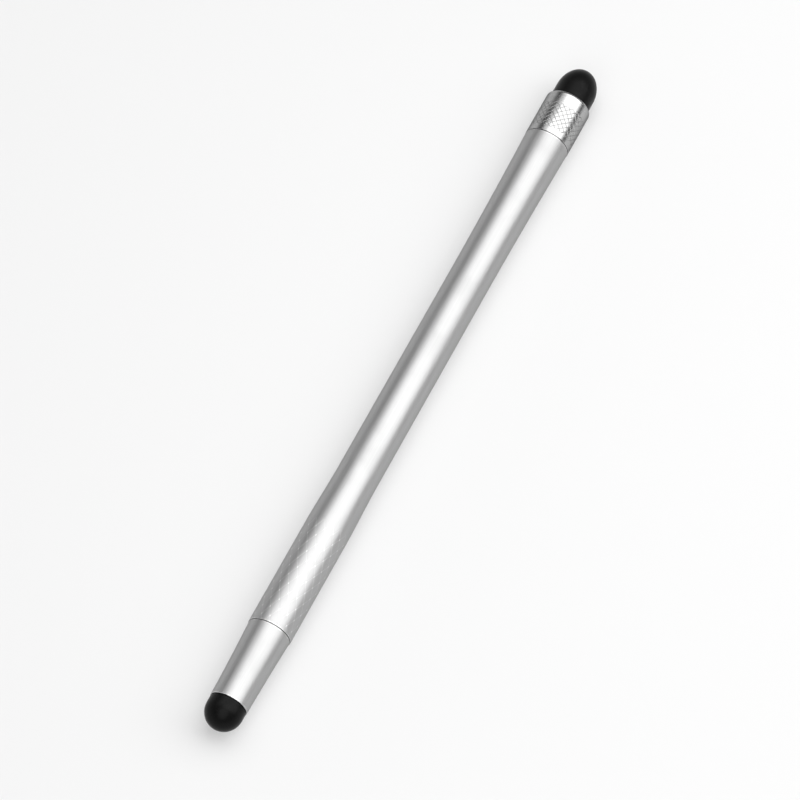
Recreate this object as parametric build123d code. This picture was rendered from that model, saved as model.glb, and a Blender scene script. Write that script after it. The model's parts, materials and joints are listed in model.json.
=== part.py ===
from build123d import *
import os

# Stylus pen with a soft rubber tip at each end, in millimetres.
# The pen lies along X with its knurled tail towards +X. Z is up and Z = 0 is the table under it.
# Each end is built alike: a brass plug in the barrel carries a screw-on nut, which is the nose cone
# in front and the knurled collar behind. The nut traps the flange of a brass holder against the plug,
# and the rubber tip is pushed on the holder's stem.

# Barrel
BARREL_LENGTH = 108.1
BARREL_BORE_RADIUS = 2.8
GRIP_RADIUS = 3.97
GRIP_LENGTH = 21.0
STEP_LENGTH = 12.0
WAIST_RADIUS = 3.74
FLARE_LENGTH = 34.0
TAIL_RADIUS = 4.15
EDGE_BEVEL = 0.03

# Brass plugs pressed into the barrel
PLUG_DEPTH = 9.0
PLUG_BORE_RADIUS = 1.4
SEAM_WIDTH = 0.1
SEAM_DEPTH = 0.25
STUB_RELIEF = 0.6

# Screw thread between a plug and its nut
THREAD_PITCH = 0.75
THREAD_CORE_RADIUS = 2.3
THREAD_HEIGHT = 0.35
THREAD_ROOT_SHARE = 0.6
THREAD_CREST_SHARE = 0.2
THREAD_CLEARANCE = 0.08
THREAD_EMBED = 0.1

# Nose cone
NOSE_LENGTH = 14.85
NOSE_ROOT_RADIUS = 3.86
NOSE_MOUTH_RADIUS = 3.43
NOSE_HOLLOW = 0.06

# Tail collar
COLLAR_LENGTH = 9.11
COLLAR_RADIUS = 4.2
COLLAR_ROUND_LENGTH = 0.5
COLLAR_ROUND_DEPTH = 0.25
COLLAR_WALL = 2.19

# Brass tip holders
FLANGE_THICKNESS = 1.0
STEM_RADIUS = 1.8
FRONT_STEM_REACH = 2.6
REAR_STEM_REACH = 4.4
STEM_BEVEL = 0.3
GRIP_GROOVE_WIDTH = 0.4
GRIP_GROOVE_DEPTH = 0.2
GRIP_GROOVE_SPACING = 0.9

# Rubber tips
FRONT_TIP_STEP = 0.08
FRONT_TIP_SKIRT = 1.42
FRONT_TIP_CROWN = 3.45
REAR_TIP_STEP = 0.3
REAR_TIP_SKIRT = 2.75
REAR_TIP_CROWN = 4.85
TIP_WALL = 1.0

# Fits
PRESS_GAP = 0.02
SEAT_GAP = 0.02
RUNNING_GAP = 0.06

# Places along the pen, worked out from the lengths above
NOSE_MOUTH = SEAM_WIDTH + NOSE_LENGTH
COLLAR_MOUTH = SEAM_WIDTH + COLLAR_LENGTH
FRONT_REACH = NOSE_MOUTH + SEAT_GAP + FRONT_TIP_SKIRT + FRONT_TIP_CROWN
REAR_REACH = COLLAR_MOUTH + SEAT_GAP + REAR_TIP_SKIRT + REAR_TIP_CROWN
OVERALL_LENGTH = FRONT_REACH + BARREL_LENGTH + REAR_REACH
BARREL_START = FRONT_REACH - OVERALL_LENGTH / 2
BARREL_END = BARREL_START + BARREL_LENGTH
AXIS_HEIGHT = max(COLLAR_RADIUS, TAIL_RADIUS, GRIP_RADIUS)

# An end piece is drawn with X pointing out of the barrel from its end face, then set at its end of the pen.
FRONT_END = Location((BARREL_START, 0, AXIS_HEIGHT), (0, 0, 180))
REAR_END = Location((BARREL_END, 0, AXIS_HEIGHT))

# Places and radii that follow from how the end pieces fit together
SHOULDER = COLLAR_MOUTH - COLLAR_WALL
FLANGE_START = SHOULDER - SEAT_GAP - FLANGE_THICKNESS
STUB_LENGTH = FLANGE_START - SEAT_GAP
THREAD_ROOT_WIDTH = THREAD_PITCH * THREAD_ROOT_SHARE
THREAD_CREST_WIDTH = THREAD_PITCH * THREAD_CREST_SHARE
THREAD_SLOPE = (THREAD_ROOT_WIDTH - THREAD_CREST_WIDTH) / THREAD_HEIGHT
NUT_BORE_RADIUS = THREAD_CORE_RADIUS + THREAD_CLEARANCE
FLANGE_RADIUS = NUT_BORE_RADIUS - RUNNING_GAP
COLLAR_MOUTH_RADIUS = COLLAR_RADIUS - COLLAR_ROUND_DEPTH
FRONT_TIP_RADIUS = NOSE_MOUTH_RADIUS - FRONT_TIP_STEP
REAR_TIP_RADIUS = COLLAR_MOUTH_RADIUS - REAR_TIP_STEP


def turned(*profile):
    """A solid of revolution about X from a closed outline of lines and curves above the axis."""
    return revolve(make_face(profile), axis=Axis.X)


def tube(start, end, outer_radius, inner_radius):
    """A plain round tube along X."""
    return turned(
        Polyline(
            (start, inner_radius),
            (start, outer_radius),
            (end, outer_radius),
            (end, inner_radius),
            close=True,
        )
    )


def rod(start, end, radius):
    """A plain round rod along X."""
    return tube(start, end, radius, 0)


def thread_ridge(start, length, base_radius, base_width, crest_radius, crest_width):
    """A right-hand screw ridge along X whose phase is counted from the barrel's end face."""
    path = Helix(THREAD_PITCH, length, base_radius, center=(start, 0, 0), direction=(1, 0, 0))
    path = Rot(X=360 * start / THREAD_PITCH) * path
    foot = path @ 0
    plane = Plane(origin=foot, x_dir=(0, foot.Y, foot.Z), z_dir=path % 0)
    height = crest_radius - base_radius
    section = make_face(
        Polyline(
            (0, -base_width / 2),
            (height, -crest_width / 2),
            (height, crest_width / 2),
            (0, base_width / 2),
            close=True,
        )
    )
    return sweep(plane * section, path=path, is_frenet=True)


def barrel():
    """The waisted tube: a straight grip, an eased step to the waist and a flare to the tail."""
    waist_start = GRIP_LENGTH + STEP_LENGTH
    waist_end = BARREL_LENGTH - FLARE_LENGTH
    tail_edge = BARREL_LENGTH - EDGE_BEVEL
    step = Spline(
        (GRIP_LENGTH, GRIP_RADIUS),
        (waist_start, WAIST_RADIUS),
        tangents=[(1, 0), (1, 0)],
    )
    flare = Spline(
        (waist_end, WAIST_RADIUS),
        (tail_edge, TAIL_RADIUS),
        tangents=[(1, 0), (FLARE_LENGTH, 2 * (TAIL_RADIUS - WAIST_RADIUS))],
    )
    tube_wall = turned(
        Polyline(
            (0, BARREL_BORE_RADIUS),
            (0, GRIP_RADIUS - EDGE_BEVEL),
            (EDGE_BEVEL, GRIP_RADIUS),
            (GRIP_LENGTH, GRIP_RADIUS),
        ),
        step,
        Line((waist_start, WAIST_RADIUS), (waist_end, WAIST_RADIUS)),
        flare,
        Polyline(
            (tail_edge, TAIL_RADIUS),
            (BARREL_LENGTH, TAIL_RADIUS - EDGE_BEVEL),
            (BARREL_LENGTH, BARREL_BORE_RADIUS),
            (0, BARREL_BORE_RADIUS),
        ),
    )
    return Location((BARREL_START, 0, AXIS_HEIGHT)) * tube_wall


def plug(end_radius):
    """The pressed-in brass plug: a body in the bore, a sunk shoulder at the seam and a threaded stub."""
    body = tube(-PLUG_DEPTH, 0, BARREL_BORE_RADIUS - PRESS_GAP, PLUG_BORE_RADIUS)
    shoulder = tube(0, SEAM_WIDTH, end_radius - SEAM_DEPTH, PLUG_BORE_RADIUS)
    stub = tube(SEAM_WIDTH, STUB_LENGTH, THREAD_CORE_RADIUS, PLUG_BORE_RADIUS)
    thread_start = SEAM_WIDTH + STUB_RELIEF
    ridge = thread_ridge(
        thread_start,
        STUB_LENGTH - THREAD_ROOT_WIDTH - thread_start,
        THREAD_CORE_RADIUS - THREAD_EMBED,
        THREAD_ROOT_WIDTH + THREAD_SLOPE * THREAD_EMBED,
        THREAD_CORE_RADIUS + THREAD_HEIGHT,
        THREAD_CREST_WIDTH,
    )
    return body + shoulder + stub + ridge


def threaded_bore(mouth):
    """The hollow of a nut: a screw thread for the stub, a seat for the flange and a hole for the stem."""
    hollow = rod(0, SHOULDER, NUT_BORE_RADIUS)
    hole = rod(0, mouth + SEAM_WIDTH, STEM_RADIUS + RUNNING_GAP)
    side = 2 * THREAD_CLEARANCE
    groove = thread_ridge(
        -THREAD_PITCH,
        STUB_LENGTH + THREAD_PITCH,
        NUT_BORE_RADIUS - THREAD_EMBED,
        THREAD_ROOT_WIDTH + THREAD_SLOPE * THREAD_EMBED + side,
        NUT_BORE_RADIUS + THREAD_HEIGHT,
        THREAD_CREST_WIDTH + side,
    )
    return hollow + hole, groove


def nose_cone():
    """The tapered nut in front, with a faintly hollow side."""
    middle = (SEAM_WIDTH + NOSE_MOUTH) / 2
    middle_radius = (NOSE_ROOT_RADIUS + NOSE_MOUTH_RADIUS) / 2 - NOSE_HOLLOW
    side = ThreePointArc(
        (SEAM_WIDTH + EDGE_BEVEL, NOSE_ROOT_RADIUS),
        (middle, middle_radius),
        (NOSE_MOUTH - EDGE_BEVEL, NOSE_MOUTH_RADIUS),
    )
    cone = turned(
        Polyline((SEAM_WIDTH, 0), (SEAM_WIDTH, NOSE_ROOT_RADIUS - EDGE_BEVEL), side @ 0),
        side,
        Polyline(
            side @ 1,
            (NOSE_MOUTH, NOSE_MOUTH_RADIUS - EDGE_BEVEL),
            (NOSE_MOUTH, 0),
            (SEAM_WIDTH, 0),
        ),
    )
    hollow, groove = threaded_bore(NOSE_MOUTH)
    return cone - hollow - groove


def tail_collar():
    """The knurled nut behind, rounded over at its mouth."""
    round_start = COLLAR_MOUTH - COLLAR_ROUND_LENGTH
    shoulder = EllipticalCenterArc(
        (round_start, COLLAR_MOUTH_RADIUS),
        COLLAR_ROUND_LENGTH,
        COLLAR_ROUND_DEPTH,
        start_angle=0,
        arc_size=90,
    )
    sleeve = turned(
        Polyline(
            (SEAM_WIDTH, 0),
            (SEAM_WIDTH, COLLAR_RADIUS - EDGE_BEVEL),
            (SEAM_WIDTH + EDGE_BEVEL, COLLAR_RADIUS),
            (round_start, COLLAR_RADIUS),
        ),
        shoulder,
        Polyline((COLLAR_MOUTH, COLLAR_MOUTH_RADIUS), (COLLAR_MOUTH, 0), (SEAM_WIDTH, 0)),
    )
    hollow, groove = threaded_bore(COLLAR_MOUTH)
    return sleeve - hollow - groove


def tip_holder(mouth, reach):
    """The brass stud: a trapped flange and a stem, with grooves that the rubber grips."""
    end = mouth + reach
    stud = rod(FLANGE_START, FLANGE_START + FLANGE_THICKNESS, FLANGE_RADIUS)
    stem = turned(
        Polyline(
            (FLANGE_START, 0),
            (FLANGE_START, STEM_RADIUS),
            (end - STEM_BEVEL, STEM_RADIUS),
            (end, STEM_RADIUS - STEM_BEVEL),
            (end, 0),
            close=True,
        )
    )
    stud += stem
    room = reach - STEM_BEVEL - GRIP_GROOVE_WIDTH
    for place in range(int(room / GRIP_GROOVE_SPACING)):
        start = mouth + SEAT_GAP + GRIP_GROOVE_WIDTH + GRIP_GROOVE_SPACING * place
        stud -= tube(start, start + GRIP_GROOVE_WIDTH, FLANGE_RADIUS, STEM_RADIUS - GRIP_GROOVE_DEPTH)
    return stud


def rubber_tip(mouth, radius, skirt, crown, reach):
    """The hollow rubber cap: a straight skirt seated on the nut's mouth, and a domed crown."""
    base = mouth + SEAT_GAP
    centre = base + skirt
    outer = EllipticalCenterArc((centre, 0), crown, radius, start_angle=0, arc_size=90)
    cap = turned(
        Polyline((base, 0), (base, radius), (centre, radius)),
        outer,
        Line((centre + crown, 0), (base, 0)),
    )
    cavity_radius = radius - TIP_WALL
    cavity_reach = crown - TIP_WALL
    inner = EllipticalCenterArc((centre, 0), cavity_reach, cavity_radius, start_angle=0, arc_size=90)
    cavity = turned(
        Polyline((centre, 0), (centre, cavity_radius)),
        inner,
        Line((centre + cavity_reach, 0), (centre, 0)),
    )
    socket = rod(base, mouth + reach + SEAT_GAP, STEM_RADIUS + PRESS_GAP)
    return cap - cavity - socket


nodes = {
    "barrel": barrel(),
    "front_plug": FRONT_END * plug(GRIP_RADIUS),
    "rear_plug": REAR_END * plug(TAIL_RADIUS),
    "nose_cone": FRONT_END * nose_cone(),
    "tail_collar": REAR_END * tail_collar(),
    "front_tip_holder": FRONT_END * tip_holder(NOSE_MOUTH, FRONT_STEM_REACH),
    "rear_tip_holder": REAR_END * tip_holder(COLLAR_MOUTH, REAR_STEM_REACH),
    "front_tip": FRONT_END * rubber_tip(
        NOSE_MOUTH, FRONT_TIP_RADIUS, FRONT_TIP_SKIRT, FRONT_TIP_CROWN, FRONT_STEM_REACH
    ),
    "rear_tip": REAR_END * rubber_tip(
        COLLAR_MOUTH, REAR_TIP_RADIUS, REAR_TIP_SKIRT, REAR_TIP_CROWN, REAR_STEM_REACH
    ),
}

os.makedirs("parts", exist_ok=True)
for name, solid in nodes.items():
    export_step(solid, f"parts/{name}.step")
    print(name, round(solid.volume, 2), len(solid.solids()), len(solid.faces()), solid.is_valid)
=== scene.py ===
# %% [markdown]
# # A stylus pen with a rubber tip at each end
# The pen lies on a pale table. Its barrel and nose are satin aluminium, its tail collar is polished and
# knurled, and its tips are black rubber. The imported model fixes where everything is, so this lesson starts
# by loading it. The pieces that show get finer meshes of their own, and the brass ones inside keep theirs.

import json
import math
from typing import NamedTuple

import bmesh
import bpy
from mathutils import Matrix, Vector


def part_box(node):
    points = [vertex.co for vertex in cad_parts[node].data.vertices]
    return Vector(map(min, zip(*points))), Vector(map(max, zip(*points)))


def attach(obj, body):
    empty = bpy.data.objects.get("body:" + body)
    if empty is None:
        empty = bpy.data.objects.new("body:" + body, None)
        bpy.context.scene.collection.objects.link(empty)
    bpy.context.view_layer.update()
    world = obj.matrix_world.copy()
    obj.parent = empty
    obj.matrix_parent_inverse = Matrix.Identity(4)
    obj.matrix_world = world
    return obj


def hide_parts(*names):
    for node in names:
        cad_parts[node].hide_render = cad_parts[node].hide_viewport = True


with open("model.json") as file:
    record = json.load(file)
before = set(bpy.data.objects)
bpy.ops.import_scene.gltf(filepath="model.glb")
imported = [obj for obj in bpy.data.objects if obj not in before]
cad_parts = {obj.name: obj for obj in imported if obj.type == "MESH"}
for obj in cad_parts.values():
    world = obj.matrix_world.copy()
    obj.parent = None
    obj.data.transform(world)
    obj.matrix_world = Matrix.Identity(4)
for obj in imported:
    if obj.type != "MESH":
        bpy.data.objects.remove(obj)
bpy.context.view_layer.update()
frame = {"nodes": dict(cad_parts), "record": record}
bpy.ops.object.select_all(action="DESELECT")
print("nodes:", ", ".join(sorted(frame["nodes"])))

# %% [markdown]
# ## Sizes
# Blender's mesh tools have small tolerances built in, and a line engraved on this pen is a tenth of a
# millimetre wide. So each piece is modelled a thousand times too large, with one unit for one millimetre
# and the pen's axis on the X axis. At the end it is shrunk and lifted to its place on the table.
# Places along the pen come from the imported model, and so do the two radii that its mounts state.

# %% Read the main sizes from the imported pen
MM = 0.001
EDGE_BEVEL = 0.03
mounts = {mount["name"]: mount for mount in frame["record"]["mounts"]}
AXIS_HEIGHT = mounts["grip_sleeve"]["pos_m"][2]
GRIP_RADIUS = mounts["grip_sleeve"]["dims"]["r_mm"]
COLLAR_RADIUS = mounts["tail_socket"]["dims"]["r_mm"]


def span(node):
    """Where a node starts and ends along the pen, in millimetres."""
    low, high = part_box(node)
    return low.x / MM, high.x / MM


BARREL_START, BARREL_END = span("barrel")
NOSE_MOUTH, NOSE_ROOT = span("nose_cone")
COLLAR_ROOT, COLLAR_MOUTH = span("tail_collar")
print(f"barrel {BARREL_END - BARREL_START:.2f} mm, grip radius {GRIP_RADIUS}, collar radius {COLLAR_RADIUS}")

# %% [markdown]
# ## Working by hand in code
# Everything below is done with the tools of edit mode. They act on what is selected, so the first helper
# selects by a rule, such as "the edges of the open rim". Next comes a lathe made of two tools: it extrudes
# the selected rim along the pen and scales the new rim to the radius wanted there. A turned piece is its
# outline, walked from place to place in that way. The Spin tool could sweep an outline too, but the rims of
# an engraved sleeve have many more points than a spun one, and this lathe takes any rim.

# %% Select by a rule, turn a rim along an outline, and mark points
MERGE = 0.0005


def pick(piece, kind, rule):
    """Select the vertices, edges or faces that pass a rule, and nothing else."""
    bpy.ops.mesh.select_mode(type=kind)
    bpy.ops.mesh.select_all(action="DESELECT")
    mesh = bmesh.from_edit_mesh(piece.data)
    parts = {"VERT": mesh.verts, "EDGE": mesh.edges, "FACE": mesh.faces}[kind]
    for part in parts:
        part.select_set(rule(part))
    mesh.select_flush_mode()
    bmesh.update_edit_mesh(piece.data)


def pick_rim(piece, place):
    """Select the open rim at a place along the pen."""
    pick(piece, "EDGE", lambda edge: edge.is_boundary and abs(edge.verts[0].co.x - place) < MERGE)


def turn(outline):
    """Extrude the selected rim through the places and radii of an outline. The first pair is where it is."""
    for (place, radius), (next_place, next_radius) in zip(outline, outline[1:]):
        step = (next_place - place, 0, 0)
        bpy.ops.mesh.extrude_region_move(TRANSFORM_OT_translate={"value": step})
        share = next_radius / radius
        bpy.ops.transform.resize(value=(1, share, share), center_override=(next_place, 0, 0))


def mark(piece, name, rule):
    """Select the points that pass a rule, and give them the value 1 under a name that materials read."""
    if name not in piece.data.attributes:
        bpy.ops.object.mode_set(mode="OBJECT")
        bpy.ops.geometry.attribute_add(name=name, domain="POINT", data_type="FLOAT")
        bpy.ops.object.mode_set(mode="EDIT")
    pick(piece, "VERT", rule)
    bpy.ops.mesh.attribute_set(value_float=1.0)


print(f"points closer than {MERGE} mm count as one")

# %% Start a turned piece from a circle, and close it
AROUND = 192
BORE_LIMIT = 3.0


def start_ring(name, place, radius):
    """A circle across the pen, in edit mode with its rim selected."""
    bpy.ops.object.select_all(action="DESELECT")
    across = (0, math.pi / 2, 0)
    bpy.ops.mesh.primitive_circle_add(
        vertices=AROUND, radius=radius, location=(place, 0, 0), rotation=across
    )
    piece = bpy.context.object
    piece.name = name
    bpy.ops.object.transform_apply(location=True, rotation=True, scale=True)
    bpy.ops.object.mode_set(mode="EDIT")
    bpy.ops.mesh.select_all(action="SELECT")
    return piece


def close_shell(piece):
    """Join the last two open rims, which closes the piece all round, and mark its bore as a recess, where
    the finishes paint shade.
    """
    pick(piece, "EDGE", lambda edge: edge.is_boundary)
    bpy.ops.mesh.bridge_edge_loops()
    mark(piece, "recess", lambda vertex: vertex.co.yz.length < BORE_LIMIT)


print(f"a turned piece has {AROUND} points around, and its bore lies within {BORE_LIMIT} mm of the axis")

# %% Finish a piece and let it stand for its node
SHARP_ANGLE = math.radians(10)


def count_open_edges(piece):
    """How many edges of a piece don't lie between exactly two faces."""
    faces_at = [0] * len(piece.data.edges)
    for loop in piece.data.loops:
        faces_at[loop.edge_index] += 1
    return sum(1 for faces in faces_at if faces != 2)


def finish_piece(piece, node, body):
    """Tidy the mesh, shrink it to metres, lift it to the pen's axis and let it stand for its node."""
    bpy.ops.mesh.select_all(action="SELECT")
    bpy.ops.mesh.remove_doubles(threshold=MERGE)
    bpy.ops.mesh.normals_make_consistent(inside=False)
    bpy.ops.object.mode_set(mode="OBJECT")
    piece.scale = (MM, MM, MM)
    piece.location = (0, 0, AXIS_HEIGHT)
    bpy.ops.object.transform_apply(location=True, rotation=True, scale=True)
    bpy.ops.object.shade_smooth_by_angle(angle=SHARP_ANGLE)
    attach(piece, body)
    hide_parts(node)
    print(f"{piece.name}: {len(piece.data.polygons)} faces, {count_open_edges(piece)} open edges")


print(f"edges of more than {math.degrees(SHARP_ANGLE):.0f} degrees stay sharp")

# %% [markdown]
# ## The engraved sheet
# The grip carries a lattice of fine lines and the collar a knurl. On the real pen a tool rolls or cuts both
# as two families of crossing spirals. They could be a bump texture, but their light edges come and go with
# the light, so they are cut into the mesh. A spiral is hard to cut on a tube and easy on a flat sheet: a
# grid is poked, so every square gets a middle point, and its straight edges are dissolved, which leaves
# diamonds. Insetting each diamond leaves a strip along every line, and pushing the line itself in makes a
# groove. A Simple Deform modifier then rolls the sheet into a sleeve.

# %% Make a flat sheet of diamonds
FLAT = 0.001
SPARE_CELLS = 2


class Engraving(NamedTuple):
    """A pattern of crossing lines: where it lies, how many cells it has, and how its lines are cut."""

    radius: float
    around: int
    first_row: float
    cell: float
    cells: int
    line_width: float
    line_depth: float
    cuts: int


def is_straight(edge):
    """True for an inner edge that runs along or across the sheet."""
    along, _, across = edge.verts[1].co - edge.verts[0].co
    return len(edge.link_faces) == 2 and min(abs(along), abs(across)) < FLAT


def diamond_sheet(name, pattern):
    """A sheet as wide as the pen's girth, from a spare cell before the first row to one after the last."""
    girth = 2 * math.pi * pattern.radius
    length = pattern.cell * (pattern.cells + SPARE_CELLS)
    bpy.ops.object.select_all(action="DESELECT")
    bpy.ops.mesh.primitive_grid_add(
        x_subdivisions=pattern.cells + SPARE_CELLS,
        y_subdivisions=pattern.around,
        size=1,
        location=(pattern.first_row - pattern.cell + length / 2, 0, 0),
        rotation=(math.pi / 2, 0, 0),
    )
    sheet = bpy.context.object
    sheet.name = name
    sheet.scale = (length, girth, 1)
    bpy.ops.object.transform_apply(location=True, rotation=True, scale=True)
    bpy.ops.object.mode_set(mode="EDIT")
    bpy.ops.mesh.select_all(action="SELECT")
    bpy.ops.mesh.poke()
    pick(sheet, "EDGE", is_straight)
    bpy.ops.mesh.dissolve_edges(use_verts=False)
    print(f"{name}: a sheet of {len(bmesh.from_edit_mesh(sheet.data).faces)} diamonds and halves")
    return sheet


print(f"a sheet has {SPARE_CELLS} spare rows of cells, one at each end, to be trimmed away")

# %% Engrave the lines between the diamonds
LONG_EDGE = 2.0


def whole(value):
    """True for a value that is a whole number of cells."""
    return abs(value - round(value)) < FLAT


def engrave(sheet, pattern):
    """Leave a strip along every line, cut it into short lengths, and push the line itself in."""
    girth = 2 * math.pi * pattern.radius
    bpy.ops.mesh.select_mode(type="FACE")
    bpy.ops.mesh.select_all(action="SELECT")
    bpy.ops.mesh.inset(thickness=pattern.line_width / 2, depth=0, use_individual=True)
    pick(sheet, "EDGE", lambda edge: edge.calc_length() > LONG_EDGE * pattern.line_width)
    bpy.ops.mesh.subdivide(number_cuts=pattern.cuts)

    def on_line(vertex):
        along = (vertex.co.x - pattern.first_row) / pattern.cell
        across = (vertex.co.z / girth + 1 / 2) * pattern.around
        first, second = whole(along - across), whole(along + across)
        return FLAT < along < pattern.cells - FLAT and (first or second), first and second

    mark(sheet, "crossing", lambda vertex: all(on_line(vertex)))
    mark(sheet, "engraving", lambda vertex: on_line(vertex)[0])
    bpy.ops.transform.translate(value=(0, pattern.line_depth, 0))
    print(f"{sheet.name}: lines of {pattern.line_width} mm, {pattern.line_depth} mm deep")


print(f"edges over {LONG_EDGE} line widths are cut shorter")

# %% Trim the sheet and roll it into a sleeve
FULL_TURN = 2 * math.pi


def trim(start, end):
    """Cut away what lies before the start and after the end."""
    bpy.ops.mesh.select_all(action="SELECT")
    bpy.ops.mesh.bisect(plane_co=(start, 0, 0), plane_no=(1, 0, 0), clear_inner=True, threshold=MERGE)
    bpy.ops.mesh.select_all(action="SELECT")
    bpy.ops.mesh.bisect(plane_co=(end, 0, 0), plane_no=(1, 0, 0), clear_outer=True, threshold=MERGE)


def roll(sheet, radius, turned_by):
    """Bend the sheet once round the pen's axis, weld its seam and turn the pattern to its place."""
    bpy.ops.object.mode_set(mode="OBJECT")
    bend = sheet.modifiers.new("roll", "SIMPLE_DEFORM")
    bend.deform_method = "BEND"
    bend.deform_axis = "X"
    bend.angle = FULL_TURN
    bpy.ops.object.modifier_apply(modifier=bend.name)
    bpy.ops.object.mode_set(mode="EDIT")
    bpy.ops.mesh.select_all(action="SELECT")
    bpy.ops.transform.translate(value=(0, -radius, 0))
    bpy.ops.mesh.remove_doubles(threshold=MERGE)
    bpy.ops.transform.rotate(value=turned_by, orient_axis="X", center_override=(0, 0, 0))
    print(f"{sheet.name}: rolled to a sleeve of {len(bmesh.from_edit_mesh(sheet.data).faces)} faces")


print(f"a sleeve is bent through {math.degrees(FULL_TURN):.0f} degrees")

# %% [markdown]
# ## The barrel
# The barrel is one aluminium tube: a straight grip with the lattice, an eased step down to the waist and a
# long flare up to the tail. It could be turned whole and the lattice laid over it, but a groove has to be
# part of the wall it is cut in. So the engraved sleeve is the grip, and the rest grows out of its two rims.
# A smoothstep, which is level at both ends, draws the step, and a parabola draws the flare.

# %% Engrave the grip
LATTICE_CELL = 3.4
LATTICE_CELLS = 7
LATTICE_LAST_ROW = 21.5
LATTICE_TURN = math.radians(10.4)
RUN_OUT = 0.1

lattice_end = BARREL_START + LATTICE_LAST_ROW
sleeve_end = lattice_end + RUN_OUT
lattice = Engraving(
    radius=GRIP_RADIUS,
    around=15,
    first_row=lattice_end - LATTICE_CELL * LATTICE_CELLS,
    cell=LATTICE_CELL,
    cells=LATTICE_CELLS,
    line_width=0.12,
    line_depth=0.012,
    cuts=6,
)
barrel = diamond_sheet("pen_barrel", lattice)
engrave(barrel, lattice)
trim(BARREL_START + EDGE_BEVEL, sleeve_end)
roll(barrel, GRIP_RADIUS, LATTICE_TURN)

# %% Turn the step, the waist and the flare behind the grip
BARREL_BORE_RADIUS = 2.8
GRIP_LENGTH = 21.0
STEP_LENGTH = 12.0
WAIST_RADIUS = 3.74
FLARE_LENGTH = 34.0
TAIL_RADIUS = 4.15
STEP_RINGS = 16
FLARE_RINGS = 24

step_start = BARREL_START + GRIP_LENGTH
flare_start = BARREL_END - FLARE_LENGTH
tail_edge = BARREL_END - EDGE_BEVEL


def smooth_step(share):
    """Rises from 0 to 1, level at both ends."""
    return share * share * (3 - 2 * share)


behind_grip = [(sleeve_end, GRIP_RADIUS)]
for ring in range(1, STEP_RINGS + 1):
    share = ring / STEP_RINGS
    place = step_start + STEP_LENGTH * share
    if place > sleeve_end:
        behind_grip.append((place, GRIP_RADIUS + (WAIST_RADIUS - GRIP_RADIUS) * smooth_step(share)))
for ring in range(FLARE_RINGS + 1):
    share = ring / FLARE_RINGS
    place = flare_start + (tail_edge - flare_start) * share
    behind_grip.append((place, WAIST_RADIUS + (TAIL_RADIUS - WAIST_RADIUS) * share**2))
behind_grip.append((BARREL_END, TAIL_RADIUS - EDGE_BEVEL))
behind_grip.append((BARREL_END, BARREL_BORE_RADIUS))

pick_rim(barrel, sleeve_end)
turn(behind_grip)
print(f"behind the grip: {len(behind_grip)} rings")

# %% Bevel the front edge and close the bore
pick_rim(barrel, BARREL_START + EDGE_BEVEL)
turn(
    [
        (BARREL_START + EDGE_BEVEL, GRIP_RADIUS),
        (BARREL_START, GRIP_RADIUS - EDGE_BEVEL),
        (BARREL_START, BARREL_BORE_RADIUS),
    ]
)
close_shell(barrel)
finish_piece(barrel, "barrel", "barrel")

# %% [markdown]
# Each diamond between the lines is a patch of small flat faces, and its rim is a sharp edge. Left so, every
# patch would mirror the room a little differently from its neighbours and the grip would look hammered. The
# real grip was round before it was engraved, so all points that still lie on the round are made to face
# straight out from the axis. The lines keep the normals of their own walls.

# %% Let the round between the lines face straight out
ON_ROUND = 0.005


def face_outwards(piece, radius):
    """Point the normals of a round stretch straight out from the pen's axis, corner by corner."""
    mesh = piece.data
    normals = [Vector((0, 0, 0))] * len(mesh.loops)
    for face in mesh.polygons:
        corners = [mesh.vertices[index].co for index in face.vertices]
        outs = [Vector((0, corner.y, corner.z - AXIS_HEIGHT)) for corner in corners]
        if all(abs(out.length / MM - radius) < ON_ROUND for out in outs):
            for loop, out in zip(face.loop_indices, outs):
                normals[loop] = out.normalized()
    mesh.normals_split_custom_set(normals)
    print(f"{piece.name}: {sum(1 for normal in normals if normal.length)} corners face straight out")


face_outwards(barrel, GRIP_RADIUS)

# %% [markdown]
# ## The nose cone
# The nose is a tapered nut with a faintly hollow side. Blender has a cone to start from, but its side is
# straight. So a circle at the root is turned outside to the mouth, along a line that sags by a parabola,
# then back through the hole for the stem to the wider bore, and closed where it began.

# %% Turn the nose cone
NOSE_ROOT_RADIUS = 3.86
NOSE_MOUTH_RADIUS = 3.43
NOSE_HOLLOW = 0.06
NOSE_RINGS = 16
STEM_HOLE_RADIUS = 1.86
NUT_BORE_RADIUS = 2.73
NUT_BORE_DEPTH = 6.92

nose_edge = NOSE_ROOT - EDGE_BEVEL
mouth_edge = NOSE_MOUTH + EDGE_BEVEL
nose_outline = [(NOSE_ROOT, NOSE_ROOT_RADIUS - EDGE_BEVEL)]
for ring in range(NOSE_RINGS + 1):
    share = ring / NOSE_RINGS
    straight = NOSE_ROOT_RADIUS + (NOSE_MOUTH_RADIUS - NOSE_ROOT_RADIUS) * share
    hollow = 4 * NOSE_HOLLOW * share * (1 - share)
    nose_outline.append((nose_edge + (mouth_edge - nose_edge) * share, straight - hollow))
nose_outline += [
    (NOSE_MOUTH, NOSE_MOUTH_RADIUS - EDGE_BEVEL),
    (NOSE_MOUTH, STEM_HOLE_RADIUS),
    (NOSE_ROOT - NUT_BORE_DEPTH, STEM_HOLE_RADIUS),
    (NOSE_ROOT - NUT_BORE_DEPTH, NUT_BORE_RADIUS),
    (NOSE_ROOT, NUT_BORE_RADIUS),
]

nose = start_ring("pen_nose_cone", *nose_outline[0])
turn(nose_outline)
close_shell(nose)
finish_piece(nose, "nose_cone", "nose_cone")

# %% [markdown]
# ## The knurled collar
# The collar is the nut at the tail. Its knurl has smaller diamonds and deeper lines than the lattice, so
# that fingers can hold it, and stops short of both edges. It is engraved and rolled as the grip was, and the
# rest is turned from its two rims. The mouth is only slightly eased, in a quarter of a small ellipse.

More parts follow.
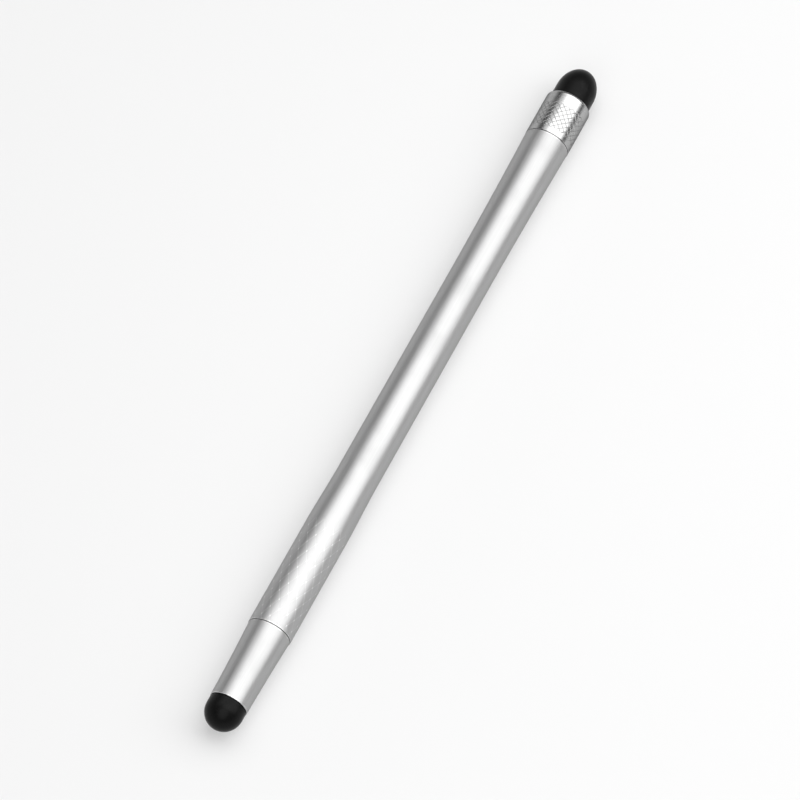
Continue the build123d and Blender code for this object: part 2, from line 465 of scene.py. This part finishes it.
# %% Knurl the collar
KNURL_CELL = 1.1
KNURL_CELLS = 5
KNURL_MARGIN = 1.05
KNURL_TURN = 0.0

knurl_start = COLLAR_ROOT + KNURL_MARGIN
knurl_end = knurl_start + KNURL_CELL * KNURL_CELLS
knurl = Engraving(
    radius=COLLAR_RADIUS,
    around=24,
    first_row=knurl_start,
    cell=KNURL_CELL,
    cells=KNURL_CELLS,
    line_width=0.16,
    line_depth=0.018,
    cuts=3,
)
collar = diamond_sheet("pen_tail_collar", knurl)
engrave(collar, knurl)
trim(knurl_start - RUN_OUT, knurl_end + RUN_OUT)
roll(collar, COLLAR_RADIUS, KNURL_TURN)

# %% Ease the collar's mouth
COLLAR_ROUND_LENGTH = 0.5
COLLAR_ROUND_DEPTH = 0.25
ROUND_RINGS = 12

round_start = COLLAR_MOUTH - COLLAR_ROUND_LENGTH
mouth_outline = [(knurl_end + RUN_OUT, COLLAR_RADIUS)]
for ring in range(ROUND_RINGS + 1):
    angle = math.pi / 2 * ring / ROUND_RINGS
    place = round_start + COLLAR_ROUND_LENGTH * math.sin(angle)
    mouth_outline.append((place, COLLAR_RADIUS - COLLAR_ROUND_DEPTH * (1 - math.cos(angle))))
mouth_outline += [
    (COLLAR_MOUTH, STEM_HOLE_RADIUS),
    (COLLAR_ROOT + NUT_BORE_DEPTH, STEM_HOLE_RADIUS),
    (COLLAR_ROOT + NUT_BORE_DEPTH, NUT_BORE_RADIUS),
]
pick_rim(collar, knurl_end + RUN_OUT)
turn(mouth_outline)
print(f"from the knurl to the bore: {len(mouth_outline)} rings")

# %% Bevel the collar's root and close it
pick_rim(collar, knurl_start - RUN_OUT)
turn(
    [
        (knurl_start - RUN_OUT, COLLAR_RADIUS),
        (COLLAR_ROOT + EDGE_BEVEL, COLLAR_RADIUS),
        (COLLAR_ROOT, COLLAR_RADIUS - EDGE_BEVEL),
        (COLLAR_ROOT, NUT_BORE_RADIUS),
    ]
)
close_shell(collar)
finish_piece(collar, "tail_collar", "tail_collar")
face_outwards(collar, COLLAR_RADIUS)

# %% [markdown]
# ## The rubber tips
# Each tip is a hollow cap of conductive rubber: a straight skirt and a domed crown. A ball could serve as
# the crown, but these domes are ovals, one short and one long, so both are turned by one function. It goes
# from the skirt's lower edge over the crown to the very end, where the last ring is merged to a point, and
# from the same edge into the socket that holds the stem.

# %% Turn a rubber tip
SKIRT_ROUND = 0.12
CROWN_RINGS = 28
SOCKET_RADIUS = 1.82
TIP_WALL = 1.0


def quarter(start, reach, radius):
    """Places and radii over a quarter ellipse from its full radius to a point at its end."""
    angles = [math.pi / 2 * ring / CROWN_RINGS for ring in range(CROWN_RINGS + 1)]
    return [(start + reach * math.sin(angle), radius * math.cos(angle)) for angle in angles]


def rubber_tip(name, base, end, radius, skirt):
    """A hollow rubber cap from its base to its end, which may lie either way along the pen."""
    out = math.copysign(1, end - base)
    crown_start = base + out * skirt
    crown = abs(end - crown_start)
    tip = start_ring(name, base, radius - SKIRT_ROUND)
    outside = [(base, radius - SKIRT_ROUND), (base + out * SKIRT_ROUND, radius)]
    turn(outside + quarter(crown_start, out * crown, radius))
    bpy.ops.mesh.merge(type="CENTER")
    pick_rim(tip, base)
    inside = [(base, radius - SKIRT_ROUND), (base, SOCKET_RADIUS), (crown_start, SOCKET_RADIUS)]
    turn(inside + quarter(crown_start, out * (crown - TIP_WALL), radius - TIP_WALL))
    bpy.ops.mesh.merge(type="CENTER")
    node = name.removeprefix("pen_")
    finish_piece(tip, node, node)
    return tip


print(f"a crown has {CROWN_RINGS} rings, and a tip's wall is {TIP_WALL} mm")

# %% Make both tips
FRONT_TIP_RADIUS = 3.35
FRONT_TIP_SKIRT = 1.42
REAR_TIP_RADIUS = 3.65
REAR_TIP_SKIRT = 2.75

front_end, front_base = span("front_tip")
rear_base, rear_end = span("rear_tip")
front_tip = rubber_tip("pen_front_tip", front_base, front_end, FRONT_TIP_RADIUS, FRONT_TIP_SKIRT)
rear_tip = rubber_tip("pen_rear_tip", rear_base, rear_end, REAR_TIP_RADIUS, REAR_TIP_SKIRT)

# %% [markdown]
# ## Materials from node groups
# No picture is wrapped round this pen: every finish is worked out from the place of each point on it. The
# effects that several finishes share, such as grain, streaks and smudges, are node groups with named inputs
# and outputs. A group is built once and then placed in each material with values of its own. The helpers
# below add a node, set or link its inputs in one go, and keep the materials short enough to read.

# %% Helpers for nodes


def add_node(tree, kind, inputs=None, **settings):
    """Add a node, give it its settings, then set or link each input named."""
    node = tree.nodes.new(kind)
    for name, value in settings.items():
        setattr(node, name, value)
    for name, value in (inputs or {}).items():
        give(tree, node.inputs[name], value)
    return node


def give(tree, socket, value):
    """Link a socket to another node's output, or set it to a plain value."""
    if isinstance(value, bpy.types.NodeSocket):
        tree.links.new(value, socket)
    else:
        socket.default_value = value


def calculate(tree, operation, *values):
    """The result of one math node."""
    node = add_node(tree, "ShaderNodeMath", operation=operation)
    for socket, value in zip(node.inputs, values):
        give(tree, socket, value)
    return node.outputs["Value"]


def shift(tree, base, mask, by):
    """A value moved by so much where a mask is 1, and left as it is where the mask is 0."""
    return calculate(tree, "MULTIPLY_ADD", mask, by, base)


def fade(tree, value, start, end, low=0.0, high=1.0):
    """Run smoothly from low to high while a value goes from start to end."""
    limits = {"Value": value, "From Min": start, "From Max": end, "To Min": low, "To Max": high}
    node = add_node(tree, "ShaderNodeMapRange", limits, interpolation_type="SMOOTHSTEP")
    return node.outputs["Result"]


def mix_colours(tree, share, first, second):
    """One colour going over to another as the share goes from 0 to 1."""
    node = add_node(tree, "ShaderNodeMix", data_type="RGBA")
    sockets = {socket.identifier: socket for socket in node.inputs}
    give(tree, sockets["Factor_Float"], share)
    give(tree, sockets["A_Color"], first)
    give(tree, sockets["B_Color"], second)
    return next(socket for socket in node.outputs if socket.enabled)


def grey(level):
    """A neutral colour."""
    return (level, level, level, 1.0)


print("node helpers ready")

# %% Start a node group
SOCKETS = {"value": "NodeSocketFloat", "place": "NodeSocketVector"}


def new_group(name, inputs, outputs):
    """A node group with its named inputs and outputs, and the two nodes they come in and go out by."""
    group = bpy.data.node_groups.new(name, "ShaderNodeTree")
    for socket, kind in inputs.items():
        group.interface.new_socket(socket, in_out="INPUT", socket_type=SOCKETS[kind])
    for socket, kind in outputs.items():
        group.interface.new_socket(socket, in_out="OUTPUT", socket_type=SOCKETS[kind])
    entry = group.nodes.new("NodeGroupInput").outputs
    leave = group.nodes.new("NodeGroupOutput").inputs
    print(f"group {name}: {', '.join(inputs) or 'no inputs'} -> {', '.join(outputs)}")
    return group, entry, leave


def use_group(tree, group, **inputs):
    """Place a node group in a material and return its outputs."""
    return add_node(tree, "ShaderNodeGroup", inputs, node_tree=group).outputs


print("a group's sockets are of two kinds:", ", ".join(SOCKETS))

# %% [markdown]
# ### Where on the pen
# Object coordinates are metres from the origin on the table. A finish is easier to write in millimetres
# from the pen's own axis, so this group scales and shifts them, and also gives the two numbers that a turned
# object is made of: how far along, and how far out.

# %% Group: place on the pen
ACROSS_ONLY = (0, 1, 1)

pen_place, _, leave = new_group("pen_place", {}, {"Place": "place", "Along": "value", "Radius": "value"})
coordinates = add_node(pen_place, "ShaderNodeTexCoord")
to_axis = add_node(
    pen_place,
    "ShaderNodeMapping",
    {
        "Vector": coordinates.outputs["Object"],
        "Scale": (1 / MM, 1 / MM, 1 / MM),
        "Location": (0, 0, -AXIS_HEIGHT / MM),
    },
)
place = to_axis.outputs["Vector"]
across = add_node(pen_place, "ShaderNodeVectorMath", {0: place, 1: ACROSS_ONLY}, operation="MULTIPLY")
out = add_node(pen_place, "ShaderNodeVectorMath", {0: across.outputs["Vector"]}, operation="LENGTH")
split = add_node(pen_place, "ShaderNodeSeparateXYZ", {"Vector": place})
give(pen_place, leave["Place"], place)
give(pen_place, leave["Along"], split.outputs["X"])
give(pen_place, leave["Radius"], out.outputs["Value"])

# %% [markdown]
# ### Grain
# Grain is the fine pebble of blasted metal or moulded rubber. Modelled, it would take millions of faces, so
# it is noise with so many bumps to a millimetre, and each finish says how deep they are.

# %% Group: grain
fine_grain, entry, leave = new_group(
    "fine_grain", {"Place": "place", "Per_mm": "value"}, {"Height": "value"}
)
noise = add_node(
    fine_grain,
    "ShaderNodeTexNoise",
    {"Vector": entry["Place"], "Scale": entry["Per_mm"], "Detail": 2.0, "Roughness": 0.5},
)
give(fine_grain, leave["Height"], noise.outputs["Fac"])

# %% [markdown]
# ### Streaks
# Streaks are noise stretched in one direction. Stretched along the pen they are the lines of a drawn tube,
# and stretched across it they are the rings of a lathe. One group makes both, because the stretch is given
# as so much noise to a millimetre along X, Y and Z. A wave texture would be too even for either.

# %% Group: streaks
streaks, entry, leave = new_group(
    "streaks", {"Place": "place", "Stretch": "place"}, {"Height": "value", "Tone": "value"}
)
drawn_out = add_node(
    streaks, "ShaderNodeVectorMath", {0: entry["Place"], 1: entry["Stretch"]}, operation="MULTIPLY"
)
noise = add_node(
    streaks,
    "ShaderNodeTexNoise",
    {"Vector": drawn_out.outputs["Vector"], "Scale": 1.0, "Detail": 3.0, "Roughness": 0.6},
)
give(streaks, leave["Height"], noise.outputs["Fac"])
give(streaks, leave["Tone"], fade(streaks, noise.outputs["Fac"], start=0.3, end=0.7))

# %% [markdown]
# ### Smudges
# Smudges are the broad faint patches that handling leaves. They are noise pulled a little out of shape, of
# which only the upper part is kept, so that clear places stay between the patches.

# %% Group: smudges
smudges, entry, leave = new_group("smudges", {"Place": "place", "Per_mm": "value"}, {"Mask": "value"})
noise = add_node(
    smudges,
    "ShaderNodeTexNoise",
    {
        "Vector": entry["Place"],
        "Scale": entry["Per_mm"],
        "Detail": 4.0,
        "Roughness": 0.55,
        "Distortion": 0.6,
    },
)
give(smudges, leave["Mask"], fade(smudges, noise.outputs["Fac"], start=0.45, end=0.7))

# %% [markdown]
# ### Worn edges
# Where two pieces meet, fingers rub the edges bright. An edge of a turned piece is a place along the pen, so
# the wear is a narrow band about that place, broken up by noise so that it doesn't look painted.

# %% Group: worn edge
worn_edge, entry, leave = new_group(
    "worn_edge",
    {"Place": "place", "Along": "value", "Edge": "value", "Reach": "value"},
    {"Mask": "value"},
)
away = calculate(worn_edge, "ABSOLUTE", calculate(worn_edge, "SUBTRACT", entry["Along"], entry["Edge"]))
band = fade(worn_edge, calculate(worn_edge, "DIVIDE", away, entry["Reach"]), start=1.0, end=0.3)
noise = add_node(worn_edge, "ShaderNodeTexNoise", {"Vector": entry["Place"], "Scale": 2.5, "Detail": 3.0})
broken = fade(worn_edge, noise.outputs["Fac"], start=0.35, end=0.6)
give(worn_edge, leave["Mask"], calculate(worn_edge, "MULTIPLY", band, broken))

# %% [markdown]
# ### Dust
# Rubber holds dust. A Voronoi texture puts one point in every cell, and a speck is what lies close to that
# point. Each cell also has a colour by chance, and only cells above a limit keep their speck.

# %% Group: dust
dust, entry, leave = new_group("dust", {"Place": "place", "Per_mm": "value"}, {"Mask": "value"})
cells = add_node(dust, "ShaderNodeTexVoronoi", {"Vector": entry["Place"], "Scale": entry["Per_mm"]})
speck = fade(dust, cells.outputs["Distance"], start=0.16, end=0.06)
chance = add_node(dust, "ShaderNodeSeparateColor", {"Color": cells.outputs["Color"]})
kept = fade(dust, chance.outputs["Red"], start=0.7, end=0.72)
give(dust, leave["Mask"], calculate(dust, "MULTIPLY", speck, kept))

# %% [markdown]
# ### Starting a finish
# Each finish is one Principled shader. What is the same all over, such as "this is metal", is set on the
# shader itself, and what changes over the surface is linked. A bump node gives relief too fine to model: its
# distance is the real depth in metres, a micron or so on metal.

# %% Start a finish and give it relief
MICRON = 0.000001


def new_finish(name, metallic):
    """A material with its node tree, its shader and the place group already in it."""
    material = bpy.data.materials.new(name)
    material.use_nodes = True
    tree = material.node_tree
    shader = tree.nodes["Principled BSDF"]
    shader.inputs["Metallic"].default_value = metallic
    return material, tree, shader.inputs, use_group(tree, pen_place)


def relief(tree, height, depth, under=None):
    """A bump of a given depth in metres, on top of another one if there is one."""
    inputs = {"Height": height, "Strength": 1.0, "Distance": depth}
    if under is not None:
        inputs["Normal"] = under
    return add_node(tree, "ShaderNodeBump", inputs).outputs["Normal"]


def attribute(tree, name):
    """The value that a mesh carries at each point under a name."""
    return add_node(tree, "ShaderNodeAttribute", attribute_name=name).outputs["Fac"]


def finish_with(piece, material):
    """Give a piece its material and nothing else."""
    piece.data.materials.clear()
    piece.data.materials.append(material)


print("a micron is", MICRON, "m")

# %% [markdown]
# ### Satin aluminium
# The barrel and the nose are blasted and clear anodised, which is the soft grey with wide, blurred
# highlights. One grey with one roughness would do from far off. Close by, the tube still has faint lines
# along it, and the engraved lines are a little brighter, partly as bare cut metal and partly as a painted
# highlight, with a painted glint where two cross. The edges at the seams are rubbed bright, and the end
# faces and bores are painted darker inwards, as painted shade. The oxide film dulls the metal where it is
# seen at a glancing angle, which is what the specular tint of a metal sets.

# %% Finish: satin aluminium
SATIN_DARK, SATIN_LIGHT = 0.42, 0.45
SATIN_EDGE = 0.55
# Engraved lines: bare cut metal and a painted highlight. Crossings: a painted glint.
CUT_METAL_AND_PAINTED_HIGHLIGHT = 0.52
CROSSING_PAINTED_GLINT = 0.85
RUBBED_BRIGHT = 0.6
# The grey that bores and end faces are painted towards, as painted shade.
RECESS_PAINTED_SHADE = 0.36
SATIN_ROUGHNESS = 0.4
DRAWN_LINES = (0.05, 6.0, 6.0)
RUBBED_REACH = 0.3

satin, tree, shader, spot = new_finish("satin_finish", metallic=1.0)
shader["Specular Tint"].default_value = grey(SATIN_EDGE)
lines = use_group(tree, streaks, Place=spot["Place"], Stretch=DRAWN_LINES)
grain = use_group(tree, fine_grain, Place=spot["Place"], Per_mm=14.0)
smudge = use_group(tree, smudges, Place=spot["Place"], Per_mm=0.16)["Mask"]
# The engraved lines are lighter, partly bare cut metal and partly a painted highlight where the groove walls
# would catch light.
cut = fade(tree, attribute(tree, "engraving"), start=0.0, end=0.7)
# Where two lines cross, a painted glint.
crossing = fade(tree, attribute(tree, "crossing"), start=0.2, end=0.7)
# Bores and end faces get painted shade, darker inwards.
recess = fade(tree, attribute(tree, "recess"), start=0.0, end=0.35)
wear = 0.0
for edge in (NOSE_MOUTH, NOSE_ROOT, BARREL_START, BARREL_END):
    worn = use_group(
        tree, worn_edge, Place=spot["Place"], Along=spot["Along"], Edge=edge, Reach=RUBBED_REACH
    )
    wear = calculate(tree, "MAXIMUM", wear, worn["Mask"])

colour = mix_colours(tree, lines["Tone"], grey(SATIN_DARK), grey(SATIN_LIGHT))
colour = mix_colours(tree, cut, colour, grey(CUT_METAL_AND_PAINTED_HIGHLIGHT))
colour = mix_colours(tree, crossing, colour, grey(CROSSING_PAINTED_GLINT))
colour = mix_colours(tree, wear, colour, grey(RUBBED_BRIGHT))
give(tree, shader["Base Color"], mix_colours(tree, recess, colour, grey(RECESS_PAINTED_SHADE)))

roughness = shift(tree, SATIN_ROUGHNESS, lines["Tone"], by=0.03)
roughness = shift(tree, roughness, smudge, by=0.04)
give(tree, shader["Roughness"], shift(tree, roughness, wear, by=-0.1))
blasted = relief(tree, grain["Height"], MICRON)
give(tree, shader["Normal"], relief(tree, lines["Height"], MICRON, under=blasted))

for piece in (barrel, nose):
    finish_with(piece, satin)
print(satin.name, "has", len(tree.nodes), "nodes")

# %% [markdown]
# ### The polished collar
# The collar is turned, knurled and polished, so it mirrors more sharply than the barrel, and at a glancing
# angle it dulls more. A perfect mirror would look unreal, so very fine rings from the lathe stay on it. The
# knurl's grooves are darkened, partly by dirt and partly as painted shade, and in patches most of that
# darkening has been wiped away.

# %% Finish: polished collar
POLISHED_DARK, POLISHED_LIGHT = 0.43, 0.47
POLISHED_EDGE = 0.3
# Grey of the knurl's grooves: dirt and painted shade.
KNURL_DIRT_AND_SHADE = 0.29
DIRT_AND_SHADE_LEFT = 0.35
POLISHED_ROUGHNESS = 0.2
POLISHED_RINGS = (12.0, 0.1, 0.1)

polished, tree, shader, spot = new_finish("polished_finish", metallic=1.0)
shader["Specular Tint"].default_value = grey(POLISHED_EDGE)
rings = use_group(tree, streaks, Place=spot["Place"], Stretch=POLISHED_RINGS)
smudge = use_group(tree, smudges, Place=spot["Place"], Per_mm=0.3)["Mask"]
wiped = use_group(tree, smudges, Place=spot["Place"], Per_mm=1.5)["Mask"]
# Darken the knurl's lines with dirt and painted shade, less where wiped.
dirt_and_shade = fade(tree, attribute(tree, "engraving"), start=0.0, end=0.35)
dirt_and_shade = calculate(tree, "MULTIPLY", dirt_and_shade, fade(tree, wiped, start=0.0, end=1.0, low=1.0, high=DIRT_AND_SHADE_LEFT))
# Painted shade in the bore, darker inwards, as on the barrel.
recess = fade(tree, attribute(tree, "recess"), start=0.0, end=0.35)

colour = mix_colours(tree, rings["Tone"], grey(POLISHED_DARK), grey(POLISHED_LIGHT))
colour = mix_colours(tree, dirt_and_shade, colour, grey(KNURL_DIRT_AND_SHADE))
give(tree, shader["Base Color"], mix_colours(tree, recess, colour, grey(RECESS_PAINTED_SHADE)))
roughness = shift(tree, POLISHED_ROUGHNESS, rings["Tone"], by=0.03)
roughness = shift(tree, roughness, smudge, by=0.04)
give(tree, shader["Roughness"], shift(tree, roughness, dirt_and_shade, by=0.2))
give(tree, shader["Normal"], relief(tree, rings["Height"], 0.5 * MICRON))

finish_with(collar, polished)
print(polished.name, "has", len(tree.nodes), "nodes")

# %% [markdown]
# ### Brass
# The plugs and the tip holders are turned brass, and they show only when the pen is taken apart. Their one
# part that lies open is the shoulder at the bottom of each seam. It is plated grey, so the seam is no yellow
# ring but a thin line, dark from its own shade. The shoulder could be a piece of its own, but no other brass
# reaches so far out from the axis, and the material can find it by that.

# %% Finish: brass
BRASS_DARK = (0.56, 0.36, 0.12, 1.0)
BRASS_LIGHT = (0.74, 0.53, 0.22, 1.0)
BRASS_ROUGHNESS = 0.24
BRASS_RINGS = (9.0, 0.15, 0.15)
SHOULDER_GREY = 0.42

brass, tree, shader, spot = new_finish("brass_finish", metallic=1.0)
rings = use_group(tree, streaks, Place=spot["Place"], Stretch=BRASS_RINGS)
smudge = use_group(tree, smudges, Place=spot["Place"], Per_mm=0.5)["Mask"]
shoulder = fade(tree, spot["Radius"], start=2.9, end=3.05)
shine = shift(tree, rings["Tone"], smudge, by=-0.5)

colour = mix_colours(tree, shine, BRASS_DARK, BRASS_LIGHT)
give(tree, shader["Base Color"], mix_colours(tree, shoulder, colour, grey(SHOULDER_GREY)))
roughness = shift(tree, BRASS_ROUGHNESS, smudge, by=0.12)
give(tree, shader["Roughness"], shift(tree, roughness, shoulder, by=0.3))
give(tree, shader["Normal"], relief(tree, rings["Height"], 2 * MICRON))

for node in ("front_plug", "rear_plug", "front_tip_holder", "rear_tip_holder"):
    finish_with(frame["nodes"][node], brass)
print(brass.name, "has", len(tree.nodes), "nodes")

# %% [markdown]
# ### Black rubber
# The tips are moulded from rubber filled with carbon, so they are nearly black all through and barely shiny.
# Pure black would lose their shape, so a fine moulded grain spreads what light they return, rubbing turns
# some patches a little smoother, and rubber always holds some dust.

# %% Finish: black rubber
RUBBER_BLACK = 0.005
RUBBER_GREY = 0.007
DUST_GREY = 0.016
RUBBER_ROUGHNESS = 0.28
RUBBER_SHINE = 0.075

rubber, tree, shader, spot = new_finish("rubber_finish", metallic=0.0)
shader["Specular IOR Level"].default_value = RUBBER_SHINE
grain = use_group(tree, fine_grain, Place=spot["Place"], Per_mm=7.0)
rubbed = use_group(tree, smudges, Place=spot["Place"], Per_mm=0.45)["Mask"]
specks = use_group(tree, dust, Place=spot["Place"], Per_mm=2.2)["Mask"]

colour = mix_colours(tree, rubbed, grey(RUBBER_BLACK), grey(RUBBER_GREY))
give(tree, shader["Base Color"], mix_colours(tree, specks, colour, grey(DUST_GREY)))
roughness = shift(tree, RUBBER_ROUGHNESS, grain["Height"], by=0.12)
give(tree, shader["Roughness"], shift(tree, roughness, rubbed, by=-0.08))
give(tree, shader["Normal"], relief(tree, grain["Height"], 5 * MICRON))

for piece in (front_tip, rear_tip):
    finish_with(piece, rubber)
print(rubber.name, "has", len(tree.nodes), "nodes")

# %% [markdown]
# ## The table
# The pen lies on a plain pale matt table. Lamps that make such a table white would wash out the pen, so a
# faint glow does the rest, only for the eye and for what mirrors the table: the Light Path node tells those
# rays from the ones that carry light on to other things. The pen's soft shadow stays on the table.

# %% Table
TABLE_RADIUS = 3.0
TABLE_SIDES = 96
TABLE_PALE = 0.45
TABLE_GLOW = 0.35

bpy.ops.object.select_all(action="DESELECT")
bpy.ops.mesh.primitive_circle_add(vertices=TABLE_SIDES, radius=TABLE_RADIUS, fill_type="NGON")
table = bpy.context.object
table.name = "table"
matt = bpy.data.materials.new("table")
matt.use_nodes = True
tree = matt.node_tree
shader = tree.nodes["Principled BSDF"].inputs
shader["Base Color"].default_value = grey(TABLE_PALE)
shader["Specular IOR Level"].default_value = 0.0
shader["Emission Color"].default_value = grey(1.0)
rays = add_node(tree, "ShaderNodeLightPath").outputs
mirrored = calculate(tree, "MAXIMUM", rays["Is Glossy Ray"], rays["Is Transmission Ray"])
seen = calculate(tree, "MAXIMUM", rays["Is Camera Ray"], mirrored)
give(tree, shader["Emission Strength"], calculate(tree, "MULTIPLY", seen, TABLE_GLOW))
finish_with(table, matt)
print(f"table of {2 * TABLE_RADIUS} m across")

# %% [markdown]
# ## The room
# Metal shows its surroundings, and an even room would leave the barrel flat. So the room is dark above,
# which gives the dark bands beside the highlight. Low down it goes from dark on the pen's near side to pale
# on its far side, as where one wall is white, and beyond the tail it is half dark.

# %% Room
ROOM_NEAR, ROOM_FAR = 0.06, 0.85
ROOM_ABOVE = 0.08
ROOM_BEYOND_TAIL = 0.25

room = bpy.data.worlds.new("room")
bpy.context.scene.world = room
room.use_nodes = True
tree = room.node_tree
outwards = add_node(tree, "ShaderNodeTexCoord").outputs["Generated"]
split = add_node(tree, "ShaderNodeSeparateXYZ", {"Vector": outwards})
low_down = fade(tree, split.outputs["Y"], start=-1.0, end=1.0, low=ROOM_NEAR, high=ROOM_FAR)
sides = fade(tree, split.outputs["Z"], start=0.12, end=0.5, low=low_down, high=ROOM_ABOVE)
brightness = fade(tree, split.outputs["X"], start=0.65, end=0.9, low=sides, high=ROOM_BEYOND_TAIL)
background = tree.nodes["Background"]
background.inputs["Color"].default_value = grey(1.0)
give(tree, background.inputs["Strength"], brightness)
print(f"room: {ROOM_NEAR} to {ROOM_FAR} low down, {ROOM_ABOVE} above")

# %% [markdown]
# ## The lights
# Point lamps would show on metal as hard dots. So the lights are soft oval panels, placed by what the pen
# should mirror. The barrel mirrors what hangs above it and a little towards the tail. There a wide panel,
# with a brighter, smaller one in it, gives a white band with a soft rim. The front dome faces the other way,
# so a third panel hangs in front of the nose and gives it a soft spot. A panel's power is worked out from
# its brightness, so that it can be made larger or smaller and look as bright as before.

# %% Soft panels
LIGHT_DISTANCE = 0.5


def direction(along, lean):
    """Up from the pen, tilted by so many degrees along it and leaning by so many to its near side."""
    along, lean = math.radians(along), math.radians(lean)
    return Vector((math.sin(along), -math.sin(lean) * math.cos(along), math.cos(lean) * math.cos(along)))


def facing(back, along):
    """A turn that looks against one direction, with its own X as near as can be to another."""
    side = (along - back * along.dot(back)).normalized()
    return Matrix((side, back.cross(side), back)).transposed().to_4x4()


def soft_panel(name, towards, reach_along, reach_across, brightness):
    """An oval panel of light, as large as it looks from the pen: its reaches are degrees to either side."""
    panel = bpy.data.lights.new(name, "AREA")
    panel.shape = "ELLIPSE"
    panel.size = 2 * LIGHT_DISTANCE * math.tan(math.radians(reach_along))
    panel.size_y = 2 * LIGHT_DISTANCE * math.tan(math.radians(reach_across))
    area = math.pi / 4 * panel.size * panel.size_y
    panel.energy = brightness * math.pi * area
    light = bpy.data.objects.new(name, panel)
    bpy.context.scene.collection.objects.link(light)
    light.matrix_world = Matrix.Translation(towards * LIGHT_DISTANCE) @ facing(towards, Vector((1, 0, 0)))
    print(f"{name}: {panel.size:.2f} by {panel.size_y:.2f} m, {panel.energy:.1f} W")


soft_panel(
    "wide_panel", direction(along=20, lean=13.7), reach_along=32, reach_across=60.8, brightness=1.12
)
soft_panel(
    "bright_panel", direction(along=20, lean=24.2), reach_along=29, reach_across=46.3, brightness=1.62
)
soft_panel(
    "front_panel", direction(along=-40, lean=12), reach_along=28, reach_across=26, brightness=1.8
)

# %% [markdown]
# ## The camera
# The camera looks steeply down on the pen from the nose's end. It stands far off with a long lens, so that
# the pen hardly narrows towards its far end. A constraint could aim it, but two angles and a distance say
# plainly where it stands. The Standard view shows colours as they are written.

# %% Camera
CAMERA_AZIMUTH = math.radians(-63.837)
CAMERA_ELEVATION = math.radians(59.958)
CAMERA_DISTANCE = 0.84886
CAMERA_LENS = 222.75
SENSOR_WIDTH = 36.0
AIM_ALONG = -2.684
AIM_ACROSS = 0.181

camera = bpy.data.cameras.new("camera")
camera.lens = CAMERA_LENS
camera.sensor_width = SENSOR_WIDTH
viewer = bpy.data.objects.new("camera", camera)
bpy.context.scene.collection.objects.link(viewer)
aim = Vector((AIM_ALONG * MM, AIM_ACROSS * MM, AXIS_HEIGHT))
back = Vector(
    (
        math.sin(CAMERA_AZIMUTH) * math.cos(CAMERA_ELEVATION),
        -math.cos(CAMERA_AZIMUTH) * math.cos(CAMERA_ELEVATION),
        math.sin(CAMERA_ELEVATION),
    )
)
right = Vector((math.cos(CAMERA_AZIMUTH), math.sin(CAMERA_AZIMUTH), 0))
viewer.matrix_world = Matrix.Translation(aim + back * CAMERA_DISTANCE) @ facing(back, right)
bpy.context.scene.camera = viewer
bpy.context.scene.view_settings.view_transform = "Standard"
print(f"camera {CAMERA_DISTANCE} m from the pen")
